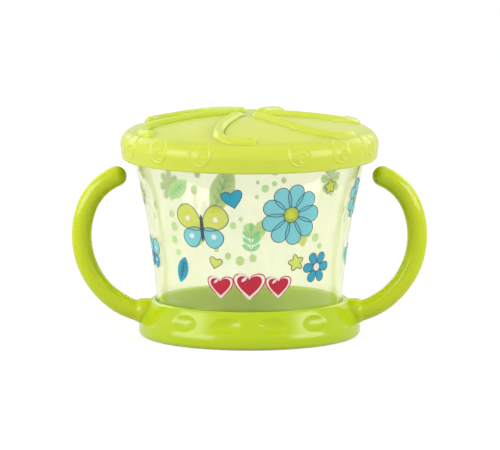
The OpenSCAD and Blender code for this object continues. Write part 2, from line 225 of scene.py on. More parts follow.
def looped(grid):
    """Closes a grid that is looped both ways."""
    rows, cols = grid.shape[:2]
    return grid.reshape(-1, 3), lattice(rows, cols, True, True), np.zeros((0, 3), int)


def sheeted(top, under):
    """Closes two grids of one shape into a sheet, with a wall round their edges."""
    rows, cols = top.shape[:2]
    n = rows * cols
    quads = lattice(rows, cols)
    index = np.arange(n).reshape(rows, cols)
    rim = np.concatenate([index[0, :-1], index[:-1, -1], index[-1, :0:-1], index[:0:-1, 0]])
    nxt = np.roll(rim, -1)
    walls = np.stack([nxt, rim, rim + n, nxt + n], -1)
    points = np.concatenate([top.reshape(-1, 3), under.reshape(-1, 3)])
    faces = np.concatenate([quads, quads[:, ::-1] + n, walls])
    return points, faces, np.zeros((0, 3), int)


def joined(patches):
    """Several closed patches as one, their indices moved past the points before."""
    starts = np.cumsum([0] + [len(p) for p, _, _ in patches])
    shifted = [(p, q + s, t + s) for (p, q, t), s in zip(patches, starts)]
    return tuple(np.concatenate(parts) for parts in zip(*shifted))


def outward(points, quads, fans):
    """Turns all faces round if the volume that they close comes out negative."""
    tris = np.concatenate([quads[:, [0, 1, 2]], quads[:, [0, 2, 3]], fans])
    a, b, c = (points[tris[:, k]] for k in range(3))
    if np.einsum("ij,ij->i", a, np.cross(b, c)).sum() < 0:
        return points, quads[:, ::-1], fans[:, ::-1]
    return points, quads, fans


def make_piece(name, patches, material, body, nodes=(), crease=38):
    """A mesh object at the origin that rides on a body and stands for CAD nodes."""
    points, quads, fans = joined([outward(*p) for p in patches])
    mesh = bpy.data.meshes.new(name)
    mesh.from_pydata(points.tolist(), [], quads.tolist() + fans.tolist())
    mesh.update()
    mesh.shade_smooth()
    mesh.set_sharp_from_angle(angle=math.radians(crease))
    mesh.materials.append(material)
    obj = bpy.data.objects.new(name, mesh)
    bpy.context.scene.collection.objects.link(obj)
    if body:
        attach(obj, body)
    if nodes:
        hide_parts(*nodes)
    return obj


# ---- curves ----


def ease(a, b, x):
    """Eases from 0 to 1 as x goes from a to b: 3t^2 - 2t^3."""
    t = np.clip((x - a) / (b - a), 0, 1)
    return t * t * (3 - 2 * t)


def arc(x, z, r, a0, a1, n):
    """Points of an arc about (x, z) from angle a0 to a1 in degrees."""
    a = np.radians(np.linspace(a0, a1, n))
    return np.stack([x + r * np.cos(a), z + r * np.sin(a)], -1)


def between(p, q, n):
    """Points of a straight line from p to q, both left out."""
    t = np.linspace(0, 1, n + 2)[1:-1, None]
    return np.array(p) * (1 - t) + np.array(q) * t


def turned(p, a):
    """Points in the XY plane turned about Z by an angle in radians."""
    c, s = np.cos(a), np.sin(a)
    return np.stack([p[..., 0] * c - p[..., 1] * s, p[..., 0] * s + p[..., 1] * c], -1)


def unit(v):
    """Vectors scaled to length one."""
    return v / np.linalg.norm(v, axis=1)[:, None]


def nearest(angles, places):
    """Angle of each column from the place nearest to it."""
    off = np.angle(np.exp(1j * (angles[:, None] - places)))
    return off[np.arange(len(angles)), np.abs(off).argmin(1)]


def cup_radius(z):
    """Outer radius of the cup at a height: foot + flare (k t + (1 - k) t^2), with t the
    share of the wall's height and k the straight share."""
    c = bpy.context.scene.snack_cup
    t = (z - CUP_LOW.z) / (CUP_HIGH.z - CUP_LOW.z - c.rim_h)
    return c.foot + (c.top - c.foot) * (c.straight * t + (1 - c.straight) * t * t)


def dome_height(r):
    """Height of the dome at a distance from the axis: a sphere's cap."""
    s = bpy.context.scene.snack_lid
    top = CUP_HIGH.z + s.rise
    return top - s.dome + np.sqrt(s.dome**2 - r * r)


# ---- materials ----


def add(tree, kind, inputs=None, **settings):
    """Adds a node with its settings, and its inputs as values or links."""
    made = tree.nodes.new("ShaderNode" + kind)
    for key, value in settings.items():
        setattr(made, key, value)
    for key, value in (inputs or {}).items():
        if isinstance(value, bpy.types.NodeSocket):
            tree.links.new(value, made.inputs[key])
        else:
            made.inputs[key].default_value = value
    return made


def blank(name):
    """A new material with its empty tree, its output node and Object coordinates."""
    material = bpy.data.materials.get(name) or bpy.data.materials.new(name)
    material.use_nodes = True
    tree = material.node_tree
    tree.nodes.clear()
    place = add(tree, "TexCoord").outputs["Object"]
    return material, tree, add(tree, "OutputMaterial"), place


def per(mm):
    """Pattern scale for features of a real size in millimetres."""
    return 1 / (mm * MM)


def clear_cup_plastic():
    """Clear tumbler plastic, smooth and faintly cloudy. A tint in the wall itself
    makes the cup greener where it is seen edge on."""
    f = bpy.context.scene.snack_finish
    material, tree, out, place = blank("clear_copolyester")
    haze = add(tree, "TexNoise", {"Vector": place, "Scale": per(18), "Detail": 2})
    rough = add(tree, "MapRange", {"Value": haze.outputs["Fac"], "To Min": 0.02, "To Max": 0.07})
    ripple = add(tree, "TexNoise", {"Vector": place, "Scale": per(26), "Detail": 1})
    skin = {"Height": ripple.outputs["Fac"], "Strength": 0.04, "Distance": 0.4 * MM}
    bump = add(tree, "Bump", skin)
    look = {
        "Base Color": (1, 1, 1, 1),
        "Roughness": rough.outputs["Result"],
        "IOR": 1.5,
        "Transmission Weight": 1,
        "Normal": bump.outputs["Normal"],
    }
    glass = add(tree, "BsdfPrincipled", look)
    cloudy = add(tree, "BsdfTranslucent", {"Color": linear("#f6fac4")})
    milky = add(tree, "BsdfDiffuse", {"Color": linear("#f6fac4")})
    cloud = add(tree, "MixShader", {0: 0.4, 1: cloudy.outputs[0], 2: milky.outputs[0]})
    wall = add(tree, "MixShader", {0: 0.055, 1: glass.outputs[0], 2: cloud.outputs[0]})
    shadow = add(tree, "LightPath").outputs["Is Shadow Ray"]
    thin = add(tree, "BsdfTransparent", {"Color": linear("#f6f8e4")})
    lets = add(tree, "MixShader", {0: shadow, 1: wall.outputs[0], 2: thin.outputs[0]})
    tint = add(tree, "VolumeAbsorption", {"Color": tuple(f.clear), "Density": 105})
    tree.links.new(lets.outputs[0], out.inputs["Surface"])
    tree.links.new(tint.outputs[0], out.inputs["Volume"])
    return material


def moulded(name, colour, shade, rough, spread, peel, wave, glow, deep=None):
    """Injection-moulded plastic: a slow drift of colour from its flow, a gloss that
    varies a little, slow waves and a fine peel of the surface, a spread of light just
    under it, and a glow of light that comes through the wall. Where a piece's own
    thick attribute is high, its colour is darkened towards a given darker colour:
    painted shade."""
    material, tree, out, place = blank(name)
    flow = add(tree, "TexNoise", {"Vector": place, "Scale": per(22), "Detail": 3})
    ends = {"Factor": flow.outputs["Fac"], "A": colour, "B": shade}
    tone = add(tree, "Mix", ends, data_type="RGBA")
    # painted shade: the colour darkens towards a given darker one where the thick attribute is
    # high
    if deep:
        thick = add(tree, "Attribute", attribute_name="thick").outputs["Fac"]
        ends = {"Factor": thick, "A": tone.outputs["Result"], "B": deep}
        tone = add(tree, "Mix", ends, data_type="RGBA")
    wear = add(tree, "TexNoise", {"Vector": place, "Scale": per(6), "Detail": 4})
    span = {"Value": wear.outputs["Fac"], "To Min": rough[0], "To Max": rough[1]}
    gloss = add(tree, "MapRange", span)
    normal = {}
    for mm, detail, strength, depth in ((15, 1, wave, 1.5), (peel, 2, 0.02, 0.15)):
        waves = add(tree, "TexNoise", {"Vector": place, "Scale": per(mm), "Detail": detail})
        rise = {"Height": waves.outputs["Fac"], "Strength": strength, "Distance": depth * MM}
        normal = {"Normal": add(tree, "Bump", rise | normal).outputs["Normal"]}
    look = {
        "Base Color": tone.outputs["Result"],
        "Roughness": gloss.outputs["Result"],
        "IOR": 1.49,
        "Subsurface Weight": spread,
        "Subsurface Radius": (1.0, 0.9, 0.3),
        "Subsurface Scale": 2.2 * MM,
        "Sheen Weight": 0.15,
        "Sheen Roughness": 0.3,
        **normal,
    }
    shader = add(tree, "BsdfPrincipled", look)
    through = add(tree, "BsdfTranslucent", {"Color": tone.outputs["Result"]})
    both = add(tree, "MixShader", {0: glow, 1: shader.outputs[0], 2: through.outputs[0]})
    tree.links.new(both.outputs[0], out.inputs["Surface"])
    return material


def lime_polypropylene(key):
    """Glossy moulded polypropylene, with a little light that comes through it."""
    c = getattr(bpy.context.scene.snack_finish, key)
    shade = (c[0] * 0.92, c[1] * 0.97, c[2] * 0.9, 1)
    look = dict(rough=(0.12, 0.2), spread=0.2, peel=1.4, wave=0.02, glow=0.2)
    return moulded(key + "_polypropylene", tuple(c), shade, **look)


def soft_elastomer():
    """Soft moulded elastomer, satin and cloudy, so that light spreads in it. Its beads carry
    painted shade towards the slits.
    """
    c = bpy.context.scene.snack_finish.soft_lime
    shade = (c[0] * 0.9, c[1] * 0.97, c[2] * 0.7, 1)
    # painted shade: a darker, greener lime that the beads take near their slits
    deep = (c[0] * 0.7, c[1] * 0.86, c[2] * 0.3, 1)
    look = dict(rough=(0.2, 0.3), spread=0.3, peel=1.6, wave=0.03, glow=0.34, deep=deep)
    return moulded("soft_elastomer", tuple(c), shade, **look)


# how much of what lies behind shows through each ink
INK_SHOWS = {"slate": 0.04, "crimson": 0.04, "cream": 0.04, "sky": 0.2, "teal": 0.2}
THIN_INK_SHOWS = 0.42


def pad_ink(key):
    """Pad-printed ink: flat, satin, a shade thinner here and there, and thin enough
    that light comes through it, so that it looks pale from inside the cup."""
    c = getattr(bpy.context.scene.snack_finish, key)
    material, tree, out, place = blank("pad_ink_" + key)
    grain = add(tree, "TexNoise", {"Vector": place, "Scale": per(0.7), "Detail": 2})
    thinner = tuple(min(1.0, x * 1.08 + 0.01) for x in c)
    ends = {"Factor": grain.outputs["Fac"], "A": tuple(c), "B": thinner}
    tone = add(tree, "Mix", ends, data_type="RGBA")
    shine = add(tree, "MapRange", {"Value": grain.outputs["Fac"], "To Min": 0.3, "To Max": 0.42})
    look = {"Base Color": tone.outputs["Result"], "Roughness": shine.outputs["Result"]}
    shader = add(tree, "BsdfPrincipled", look | {"IOR": 1.48})
    back = add(tree, "BsdfTranslucent", {"Color": tone.outputs["Result"]})
    lit = add(tree, "MixShader", {0: 0.3, 1: shader.outputs[0], 2: back.outputs[0]})
    bare = add(tree, "BsdfTransparent")
    shows = INK_SHOWS.get(key, THIN_INK_SHOWS)
    film = add(tree, "MixShader", {0: shows, 1: lit.outputs[0], 2: bare.outputs[0]})
    tree.links.new(film.outputs[0], out.inputs["Surface"])
    return material


# ---- operators ----

ROUND = 384  # columns round the cup
BASE_ROUND = 720  # columns round the base, fine enough for its ribs
LID_ROUND = 768  # columns round the lid's rim, fine enough for its embossing


def full_turn(n):
    """Angles of n columns round the axis."""
    return 2 * np.pi * np.arange(n) / n


class SNACK_OT_cup(bpy.types.Operator):
    """Clear flared cup: its section turned about the axis."""

    bl_idname = "snack.cup"
    bl_label = "Cup"

    def execute(self, context):
        s = context.scene.snack_cup
        low, high = CUP_LOW.z, CUP_HIGH.z
        floor = low + s.floor
        wall_top = high - s.rim_h
        fillet = 1.6 * MM
        bead = s.rim_h / 3
        rim = s.top + s.rim_out
        z_out = np.linspace(low + fillet, wall_top, 64)
        z_in = np.linspace(wall_top, floor + fillet, 64)
        out_wall = np.stack([cup_radius(z_out), z_out], -1)
        in_wall = np.stack([cup_radius(z_in) - s.wall, z_in], -1)
        inner = s.top - s.wall
        lip = 0.4 * MM
        profile = np.concatenate(
            [
                [[0, low]],
                between((0, low), (out_wall[0, 0] - fillet, low), 8),
                arc(out_wall[0, 0] - fillet, low + fillet, fillet, -90, -6, 8),
                out_wall,
                [[rim - 0.7 * bead, wall_top + 0.1 * MM]],
                arc(rim - bead, high - bead, bead, -34, 90, 12),
                between((rim - bead, high), (inner + lip, high), 2),
                arc(inner + lip, high - lip, lip, 90, 180, 5),
                in_wall,
                arc(in_wall[-1, 0] - fillet, floor + fillet, fillet, -6, -90, 8),
                between((in_wall[-1, 0] - fillet, floor), (0, floor), 8),
                [[0, floor]],
            ]
        )
        patch = poled(spun(profile, full_turn(ROUND)))
        make_piece("clear_cup", [patch], clear_cup_plastic(), "base", ["cup"])
        return {"FINISHED"}


def base_profile():
    """Section of the base from the axis under its floor, round its wall and back to
    the axis, with a tag for each point: 1 on the outer slope, 2 on the ceiling of the
    channel underneath."""
    c, b = bpy.context.scene.snack_cup, bpy.context.scene.snack_base
    top, seat = BASE_HIGH.z, CUP_LOW.z
    play = 0.1 * MM  # between the cup and the base
    fillet = 1.6 * MM
    foot = c.foot + 7.7 * MM  # outer radius on the table
    edge = float(cup_radius(top)) + play + b.edge
    slope = math.atan2(foot - 0.5 * MM - edge, top - b.crease)
    half = b.edge / 2
    ceiling = b.crease + 0.6 * MM
    c_in, c_out = c.foot + play + 2.4 * MM, foot - 3.1 * MM  # the channel's two sides
    relief = 0.8 * MM  # how far the floor's underside stays off the table
    z_seat = np.linspace(top - half, seat + fillet, 14)[1:]
    foot_in = float(cup_radius(seat + fillet)) - fillet
    parts = [
        (0, [[0, relief]]),
        (0, between((0, relief), (c_in - 1.6 * MM, relief), 6)),
        (0, [[c_in - 1.6 * MM, relief], [c_in - 1 * MM, 0], [c_in, 0]]),
        (2, [[c_in, ceiling]]),
        (2, between((c_in, ceiling), (c_out, ceiling), 3)),
        (2, [[c_out, ceiling]]),
        (0, [[c_out, 0]]),
        (0, arc(foot - 2 * MM, 2 * MM, 2 * MM, -90, -4, 12)),
        (0, [[foot, 3.2 * MM], [foot - 0.15 * MM, 4.4 * MM]]),
    ]
    crease = np.array([foot - 0.5 * MM, b.crease])
    shoulder = arc(edge - half, top - half, half, math.degrees(slope), 180, 14)
    parts += [
        (1, [crease - (0, 0.35 * MM) + (0.12 * MM, 0), crease]),
        (1, between(crease, shoulder[0], 44)),
        (0, shoulder),
        (0, np.stack([cup_radius(z_seat) + play, z_seat], -1)),
        (0, arc(foot_in, seat + fillet, fillet + play, -6, -80, 6)),
        (0, between((foot_in, seat), (0, seat), 6)),
        (0, [[0, seat]]),
    ]
    tags = np.repeat([tag for tag, _ in parts], [len(p) for _, p in parts])
    return np.concatenate([p for _, p in parts]), tags, slope


class SNACK_OT_base(bpy.types.Operator):
    """Base: its section turned about the axis, with dimples pressed in along the
    slope's normal, and ribs left standing in the channel underneath."""

    bl_idname = "snack.base"
    bl_label = "Base ring"

    def execute(self, context):
        b = context.scene.snack_base
        profile, tags, slope = base_profile()
        angles = full_turn(BASE_ROUND)
        grid = spun(profile, angles)
        wall = profile[tags == 1]
        middle = (wall[0] + wall[-1]) / 2 - (0, 0.1 * MM)
        along = np.array([-math.sin(slope), math.cos(slope)])
        up = (profile - middle) @ along
        radius = profile[:, 0]
        places = (np.arange(b.places) + 0.5) * 2 * np.pi / b.places - np.pi / 2
        places = places[np.abs(np.cos(places)) < 0.75]  # none beside the handles
        near = nearest(angles, places)
        aside, above = 2 * radius[:, None] * near / b.dimple_w, 2 * up[:, None] / b.dimple_h
        q = 1 - aside**2 - above**2
        soft = 0.1  # how softly a dimple's edge rounds into the slope
        depth = b.dimple_d * (q + np.sqrt(q * q + soft**2)) / 2
        depth = np.where(q > -4 * soft, depth, 0) * (tags == 1)[:, None]
        out = math.cos(slope)
        normal = np.stack(
            [out * np.cos(angles), out * np.sin(angles), math.sin(slope) + 0 * angles], -1
        )
        grid = grid - depth[..., None] * normal
        step = np.pi / b.ribs
        rib = np.abs((angles + np.pi / 2 + step / 2) % step - step / 2) * radius.max()
        bare = ease(0.5 * MM, 0.9 * MM, rib)  # 0 in a rib, 1 in the open channel
        across = np.abs(np.sin(angles)) * 40 * MM  # from the line through the handles
        beside = ease(4.4 * MM, 4.9 * MM, across)
        grid[tags == 2, :, 2] *= bare * beside
        # the base's lime is the darker copy of the handles' lime: painted shade
        plastic = lime_polypropylene("deep_lime")
        make_piece("base_ring_skin", [poled(grid)], plastic, "base", ["base_ring"], 50)
        return {"FINISHED"}


def handle_patch():
    """The right handle: a round section carried along two arcs in the XZ plane,
    from inside the base's wall to a rounded tip."""
    s = bpy.context.scene.snack_handle
    face = GRIP_LOW.x
    bow_x = GRIP_HIGH.x - s.grip / 2 - s.bow
    bow_z = s.root_z + math.sqrt(s.bow**2 - (face - bow_x) ** 2)
    a0 = math.atan2(s.root_z - bow_z, face - bow_x)
    a1 = a0 + s.bow_turn
    a2 = a1 + s.tip_turn
    shift = s.bow - s.tip_r
    tip_x, tip_z = bow_x + shift * math.cos(a1), bow_z + shift * math.sin(a1)
    n_bow, n_tip, n_cap, n_in = 96, 26, 12, 8
    bow = np.linspace(a0, a1, n_bow)
    tip = np.linspace(a1, a2, n_tip + 1)[1:]
    share = np.concatenate([s.bow * (bow - a0), s.bow * (a1 - a0) + s.tip_r * (tip - a1)])
    share = share / share[-1]
    bends = ((bow_x, bow_z, s.bow, bow), (tip_x, tip_z, s.tip_r, tip))
    middle = np.concatenate(
        [np.stack([x + r * np.cos(a), z + r * np.sin(a)], -1) for x, z, r, a in bends]
    )
    lean = np.concatenate([bow, tip])
    lean = -np.pi / 2 + (lean + np.pi / 2) * ease(0, 0.14, share)
    thick = s.root + (s.grip - s.root) * ease(0, 0.28, share)
    thick = thick + (s.tip - thick) * ease(0.6, 1, share)
    radius = thick / 2
    t = np.linspace(0, 1, n_cap + 1)[1:] * np.pi / 2
    ahead = np.array([-math.sin(a2), math.cos(a2)])
    cap = middle[-1] + radius[-1] * np.sin(t)[:, None] * ahead
    sunk = 6 * MM  # how far the handle's end reaches into the base
    start = np.linspace(face - sunk, face, n_in + 1)[:-1]
    root = np.stack([start, np.full(n_in, s.root_z)], -1)
    middle = np.concatenate([root[:1], root, middle, cap])
    lean = np.concatenate([np.full(n_in + 1, -np.pi / 2), lean, np.full(n_cap, a2)])
    radius = np.concatenate([[0], np.full(n_in, radius[0]), radius, radius[-1] * np.cos(t)])
    # a small flare where the handle meets the base, falling as a bell along it
    past = np.clip(middle[:, 0] - face + 1.5 * MM, 0, 1)
    flare = 0.9 * MM * np.exp(-((past / (1.4 * MM)) ** 2))
    flare[middle[:, 1] > s.root_z + 12 * MM] = 0
    radius = radius + flare
    radius[0] = 0
    around = full_turn(64)
    across = radius[:, None] * np.cos(around)
    return np.stack(
        [
            middle[:, :1] + across * np.cos(lean)[:, None],
            radius[:, None] * np.sin(around),
            middle[:, 1:] + across * np.sin(lean)[:, None],
        ],
        -1,
    )


class SNACK_OT_handles(bpy.types.Operator):
    """Two open handles, the left one the mirror of the right one."""

    bl_idname = "snack.handles"
    bl_label = "Handles"

    def execute(self, context):
        grid = handle_patch()
        plastic = lime_polypropylene("lime")
        for name, side in (("right", 1), ("left", -1)):
            patch = poled(grid * (side, 1, 1))
            make_piece(f"grip_{name}", [patch], plastic, "base", [f"handle_{name}"])
        return {"FINISHED"}


SEAM = 47.8 * MM  # where the flaps' fixed edge meets the lid's rim, clear of the beads
LID_RADIUS = LID_HIGH.x  # the box ends at a place bare of embossing


def shoulder_arc():
    """Centre of the shoulder's arc, and the angle at which the dome meets it."""
    s = bpy.context.scene.snack_lid
    centre_z = CUP_HIGH.z + s.rise - s.dome
    x = LID_RADIUS - s.shoulder
    z = centre_z + math.sqrt((s.dome - s.shoulder) ** 2 - x * x)
    return x, z, math.degrees(math.atan2(z - centre_z, x))


def lid_height(r):
    """Height of the lid's outside at a distance from the axis: the dome's cap, then
    the shoulder's arc outside the circle where the two meet."""
    s = bpy.context.scene.snack_lid
    x, z, a = shoulder_arc()
    shoulder = z + np.sqrt(np.maximum(s.shoulder**2 - (r - x) ** 2, 0))
    return np.where(r < x + s.shoulder * math.cos(math.radians(a)), dome_height(r), shoulder)


class SNACK_OT_lid_rim(bpy.types.Operator):
    """Rim of the lid: shoulder, skirt, hem and snap ridge turned about the axis,
    with thin circles raised along the normal of its outside."""

    bl_idname = "snack.lid_rim"
    bl_label = "Lid rim"

    def execute(self, context):
        s = context.scene.snack_lid
        c = context.scene.snack_cup
        x, z, _ = shoulder_arc()
        rim, low = CUP_HIGH.z, LID_LOW.z
        hem = s.hem / 2
        bead = c.top + c.rim_out
        snap = bead + 0.15 * MM  # the ridge under the cup's bead
        inside = bead + 0.7 * MM
        seat = c.top - c.wall + 0.6 * MM
        a_seam = math.degrees(math.acos((SEAM - x) / s.shoulder))
        skirt = between((LID_RADIUS, z), (LID_RADIUS - s.skirt_in, low + hem), 26)
        outer = np.concatenate([arc(x, z, s.shoulder, a_seam, 0, 46), skirt])
        rest = np.concatenate(
            [
                arc(LID_RADIUS - s.skirt_in - hem, low + hem, hem, -4, -176, 12),
                [
                    [LID_RADIUS - s.skirt_in - s.hem, low + hem],
                    [snap, rim - c.rim_h - 1.6 * MM],
                    [snap, rim - c.rim_h - 0.8 * MM],
                    [inside, rim - c.rim_h],
                    [inside, rim],
                    [seat, rim],
                    [seat - 1 * MM, rim + 1.6 * MM],
                    [seat - 2 * MM, float(lid_height(seat - 2 * MM)) - s.sheet],
                    [SEAM, float(lid_height(SEAM)) - s.sheet],
                ],
            ]
        )
        angles = full_turn(LID_ROUND)
        grid = spun(np.concatenate([outer, rest]), angles)
        tangent = unit(np.gradient(outer, axis=0))
        normal = np.stack([-tangent[:, 1], tangent[:, 0]], -1)
        normal = normal * np.sign(normal[:, :1] + normal[:, 1:])
        places = np.arange(16)
        places = places[places % 4 != 0] * np.pi / 8  # bare in front, behind and at the sides
        near = nearest(angles, places)
        y = outer[:, :1] * np.sin(near)
        h = outer[:, 1:] - rim + 0 * near
        inner = np.hypot(y - 0.28 * s.circle, h + 0.3 * s.circle)
        rise = np.maximum(
            ridge(np.hypot(y, h), s.circle, 0.42 * MM), ridge(inner, 0.45 * s.circle, 0.38 * MM)
        )
        rise = s.emboss * rise * (outer[:, 1:] > low + hem + 0.3 * MM)
        flat = rise * normal[:, :1]
        grid[: len(outer), :, 0] += flat * np.cos(angles)
        grid[: len(outer), :, 1] += flat * np.sin(angles)
        grid[: len(outer), :, 2] += rise * normal[:, 1:]
        make_piece("lid_rim", [looped(grid)], soft_elastomer(), "lid", ["lid_shell"])
        return {"FINISHED"}


def ridge(distance, radius, half_width):
    """A round ridge along a circle: 1 on the circle, falling as a bell either side."""
    return np.exp(-(((distance - radius) / half_width) ** 2))


def slit_line(t):
    """Points and directions along the slit at the front, a cubic curve from its
    outer end at t = 0 to the lid's centre at t = 1."""
    slit = bpy.context.scene.snack_lid.slit
    bends = np.array([[0, -slit], [-19 * MM, -1.047 * slit], [-5 * MM, -0.326 * slit], [0, 0]])
    t = t[:, None]
    u = 1 - t
    p = u**3 * bends[0] + 3 * u * u * t * bends[1] + 3 * u * t * t * bends[2] + t**3 * bends[3]
    legs = np.diff(bends, axis=0)
    way = u * u * legs[0] + 2 * u * t * legs[1] + t * t * legs[2]
    return p, unit(way)


def slit_path(n):
    """Radius and angle along the line between two flaps, from the seam in to the
    centre: straight in to the slit's end, then its curve, the radius always falling."""
    slit = bpy.context.scene.snack_lid.slit
    t = np.linspace(0, 0.985, n)
    p, _ = slit_line(t)
    r = np.hypot(p[:, 0], p[:, 1])
    a = np.arctan2(p[:, 0], -p[:, 1])
    r = np.minimum.accumulate(r - 1e-7 * np.arange(n))
    straight = np.linspace(SEAM, slit, 12)[:-1]
    still = 0 * straight
    return tuple(np.concatenate(p) for p in ((straight, r), (still, a), (still, t)))


def flap_grids():
    """Top and underside of one flap with its root at -Y. A point is the slit's line
    turned about the axis, from half a flap's share one way at its leading edge to
    half a share the other way at the next slit."""
    s = bpy.context.scene.snack_lid
    r, a, t = slit_path(96)
    half = math.pi / len(FLAPS)
    f = np.linspace(0, 1, 64)
    theta = a[:, None] - half + 2 * half * f
    x, y = r[:, None] * np.sin(theta), -r[:, None] * np.cos(theta)
    # the slit's width, taken off square to its line
    lead = np.stack([r * np.sin(a - half), -r * np.cos(a - half)], -1)
    way = unit(np.gradient(lead, axis=0))
    side = np.stack([way[:, 1], -way[:, 0]], -1)
    parted = s.gap / 2 * ease(0.0, 0.05, t)
    other = turned(side, 2 * half)
    f = f[:, None]
    shift = parted[:, None, None] * (side[:, None] * (1 - f) ** 6 - other[:, None] * f**6)
    x, y = x + shift[..., 0], y + shift[..., 1]
    top = lid_height(np.hypot(x, y))
    under = top - s.sheet + 0.15 * MM  # just above the shell's own underside
    return np.stack([x, y, top], -1), np.stack([x, y, under], -1)


def bead_grids():
    """Top and underside of the bead on the outer side of the slit at the front.
    Rows follow the slit from a rounded end past it to near the centre, and across
    them the height over the lid is a soft hump, sine of the place to the power 1.4."""
    s = bpy.context.scene.snack_lid
    t = np.linspace(0, 0.95, 110)
    p, way = slit_line(t)
    out = np.stack([-way[:, 1], way[:, 0]], -1)
    radius = np.hypot(p[:, 0], p[:, 1])
    half = np.minimum(s.bead_w / 2, 0.3 * radius)
    middle = p + out * (s.gap / 2 + half)[:, None]
    cap = np.radians(np.linspace(6, 90, 14))[:-1, None]
    past = s.bead_past - half[0] + half[0] * np.cos(cap)
    middle = np.concatenate([middle[0] - past * way[0], middle])
    out = np.concatenate([out[:1] + 0 * cap, out])
    share = np.concatenate([np.sin(cap[:, 0]), 0 * t + 1])
    half = np.concatenate([half[0] + 0 * cap[:, 0], half]) * share
    high = s.bead * share * np.concatenate([1 + 0 * cap[:, 0], ease(2 * MM, 8 * MM, radius)])
    phi = np.linspace(0, np.pi, 25)
    xy = middle[:, None] + out[:, None] * (half[:, None] * np.cos(phi))[..., None]
    z = lid_height(np.hypot(xy[..., 0], xy[..., 1]))
    top = np.stack([xy[..., 0], xy[..., 1], z + high[:, None] * np.sin(phi) ** 1.4], -1)
    under = np.stack([xy[..., 0], xy[..., 1], z - 0.6 * MM], -1)  # sunk in the flap
    return top, under


def moved(grid, a):
    """A grid turned about the axis by an angle."""
    return np.concatenate([turned(grid[..., :2], a), grid[..., 2:]], -1)


class SNACK_OT_flaps(bpy.types.Operator):
    """Six flaps, each a sheet from the seam at the lid's rim in to the centre, with a bead
    beside a slit.
    """

    bl_idname = "snack.flaps"
    bl_label = "Flaps"

    def execute(self, context):
        sheet = flap_grids()
        bead = bead_grids()
        rubber = soft_elastomer()
        half = math.pi / len(FLAPS)
        # painted shade: the bead's colour darkens towards the slit
        across = 0.1 + 0.7 * np.sin(np.linspace(0, math.pi / 2, bead[0].shape[1])) ** 6
        for i, name in enumerate(FLAPS):
            a = half * (2 * i + 1)
            patches = [
                sheeted(*(moved(g, a) for g in sheet)),
                sheeted(*(moved(g, a + half) for g in bead)),
            ]
            obj = make_piece(f"petal_{i + 1}", patches, rubber, None, [name])
            # painted shade weights for the bead's points, stored in the thick attribute
            thick = np.zeros(len(obj.data.vertices), np.float32)
            start = len(patches[0][0])
            thick[start:] = np.tile(across, (len(thick) - start) // len(across))
            obj.data.attributes.new("thick", "FLOAT", "POINT").data.foreach_set("value", thick)
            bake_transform(obj)
        return {"FINISHED"}


# ---- print ----


def on_cup(p, angle, z, layer):
    """Flat points laid about a place on the cup's wall: the top and the underside of
    a thin film. A higher layer lies a little further out."""
    v = z + p[..., 1]
    film = []
    for lift in (0.03 + 0.025 * layer, -0.05):  # millimetres off the wall
        r = cup_radius(v) + lift * MM
        a = math.radians(angle - 90) + p[..., 0] / r
        film.append(np.stack([r * np.cos(a), r * np.sin(a), v], -1))
    return film


LOOP = np.linspace(0, 2 * np.pi, 48, endpoint=False)


def outline(kind):
    """Closed outline of a simple shape about its middle, one unit in half-size."""
    c, s = np.cos(LOOP), np.sin(LOOP)
    star = 1 - 0.52 * (1 - np.abs(2 * ((LOOP * 5 / (2 * np.pi)) % 1) - 1))  # radius, five points
    shapes = {
        "dot": (c, s),
        "petal": (c, 0.42 * s * (1 + 0.35 * c)),  # a blunt drop that widens outwards
        "leaf": (c, 0.4 * s * np.abs(s) ** 0.6),  # pointed at both ends
        "heart": (s**3, (13 * c - 5 * np.cos(2 * LOOP) - 2 * np.cos(3 * LOOP)) / 16),
        "star": (star * -s, star * c),
    }
    return np.stack(shapes[kind], -1)


def placed(shape, x, y, w, h, turn):
    """A shape's points scaled, turned and moved in the plane of the print."""
    return turned(shape * (w * MM, h * MM), math.radians(turn)) + (x * MM, y * MM)


def filled(points, *place):
    """A closed thin film over an outline: rings shrink to a pole in its middle, above
    and below."""
    rho = np.linspace(0, 1, 6)
    middle = points.mean(0)
    top, low = on_cup(middle + rho[:, None, None] * (points - middle), *place)
    return poled(np.concatenate([top, low[::-1]]))


def banded(points, width, *place):
    """A closed thin band along an outline, its width laid outwards."""
    way = np.roll(points, -1, 0) - np.roll(points, 1, 0)
    way /= np.linalg.norm(way, axis=1)[:, None] + 1e-12
    side = np.stack([way[:, 1], -way[:, 0]], -1)
    top, low = on_cup(np.stack([points, points + side * width]), *place)
    return looped(np.stack([top[0], top[1], low[1], low[0]]))


LINE = 0.3  # width of a drawn line, in millimetres


def mark(ink, kind, x, y, w, h=None, turn=0, layer=0, line=None):
    """A filled shape of a motif, with its place and half-sizes in millimetres, its turn
    in degrees and the layer that it is printed in. With the ink of a line, that line is
    drawn round it in the next layer. A part ends with its line's width, or with 0."""
    shape = (kind, x, y, w, w if h is None else h, turn)
    return [(ink, *shape, layer, 0)] + ([(line, *shape, layer + 1, LINE)] if line else [])


def daisy(r, petals, fill, heart, line):
    """A flower of round petals with a disc in the middle."""
    parts = []
    for k in range(petals):
        a = 360 * k / petals
        c, s = math.cos(math.radians(a)), math.sin(math.radians(a))
        parts += mark(fill, "petal", 0.62 * r * c, 0.62 * r * s, 0.42 * r, 0.62 * r, a, 0, line)
    return parts + mark(heart, "dot", 0, 0, 0.26 * r, layer=2, line=line)


def butterfly(r, upper, lower, line):
    """Four wings about a slim body."""
    wings = (upper, 0.5, 0.34, 0.58, 0.98, 38), (lower, 0.4, -0.32, 0.42, 0.8, -42)
    parts = []
    for side in (1, -1):
        for ink, x, y, w, h, a in wings:
            a = a if side > 0 else 180 - a
            parts += mark(ink, "petal", side * x * r, y * r, w * r, h * r, a, 0, line)
            parts += mark("cream", "dot", side * x * 1.15 * r, y * r, 0.1 * r, layer=2)
    return parts + mark(line, "dot", 0, 0, 0.075 * r, 0.52 * r, layer=3)


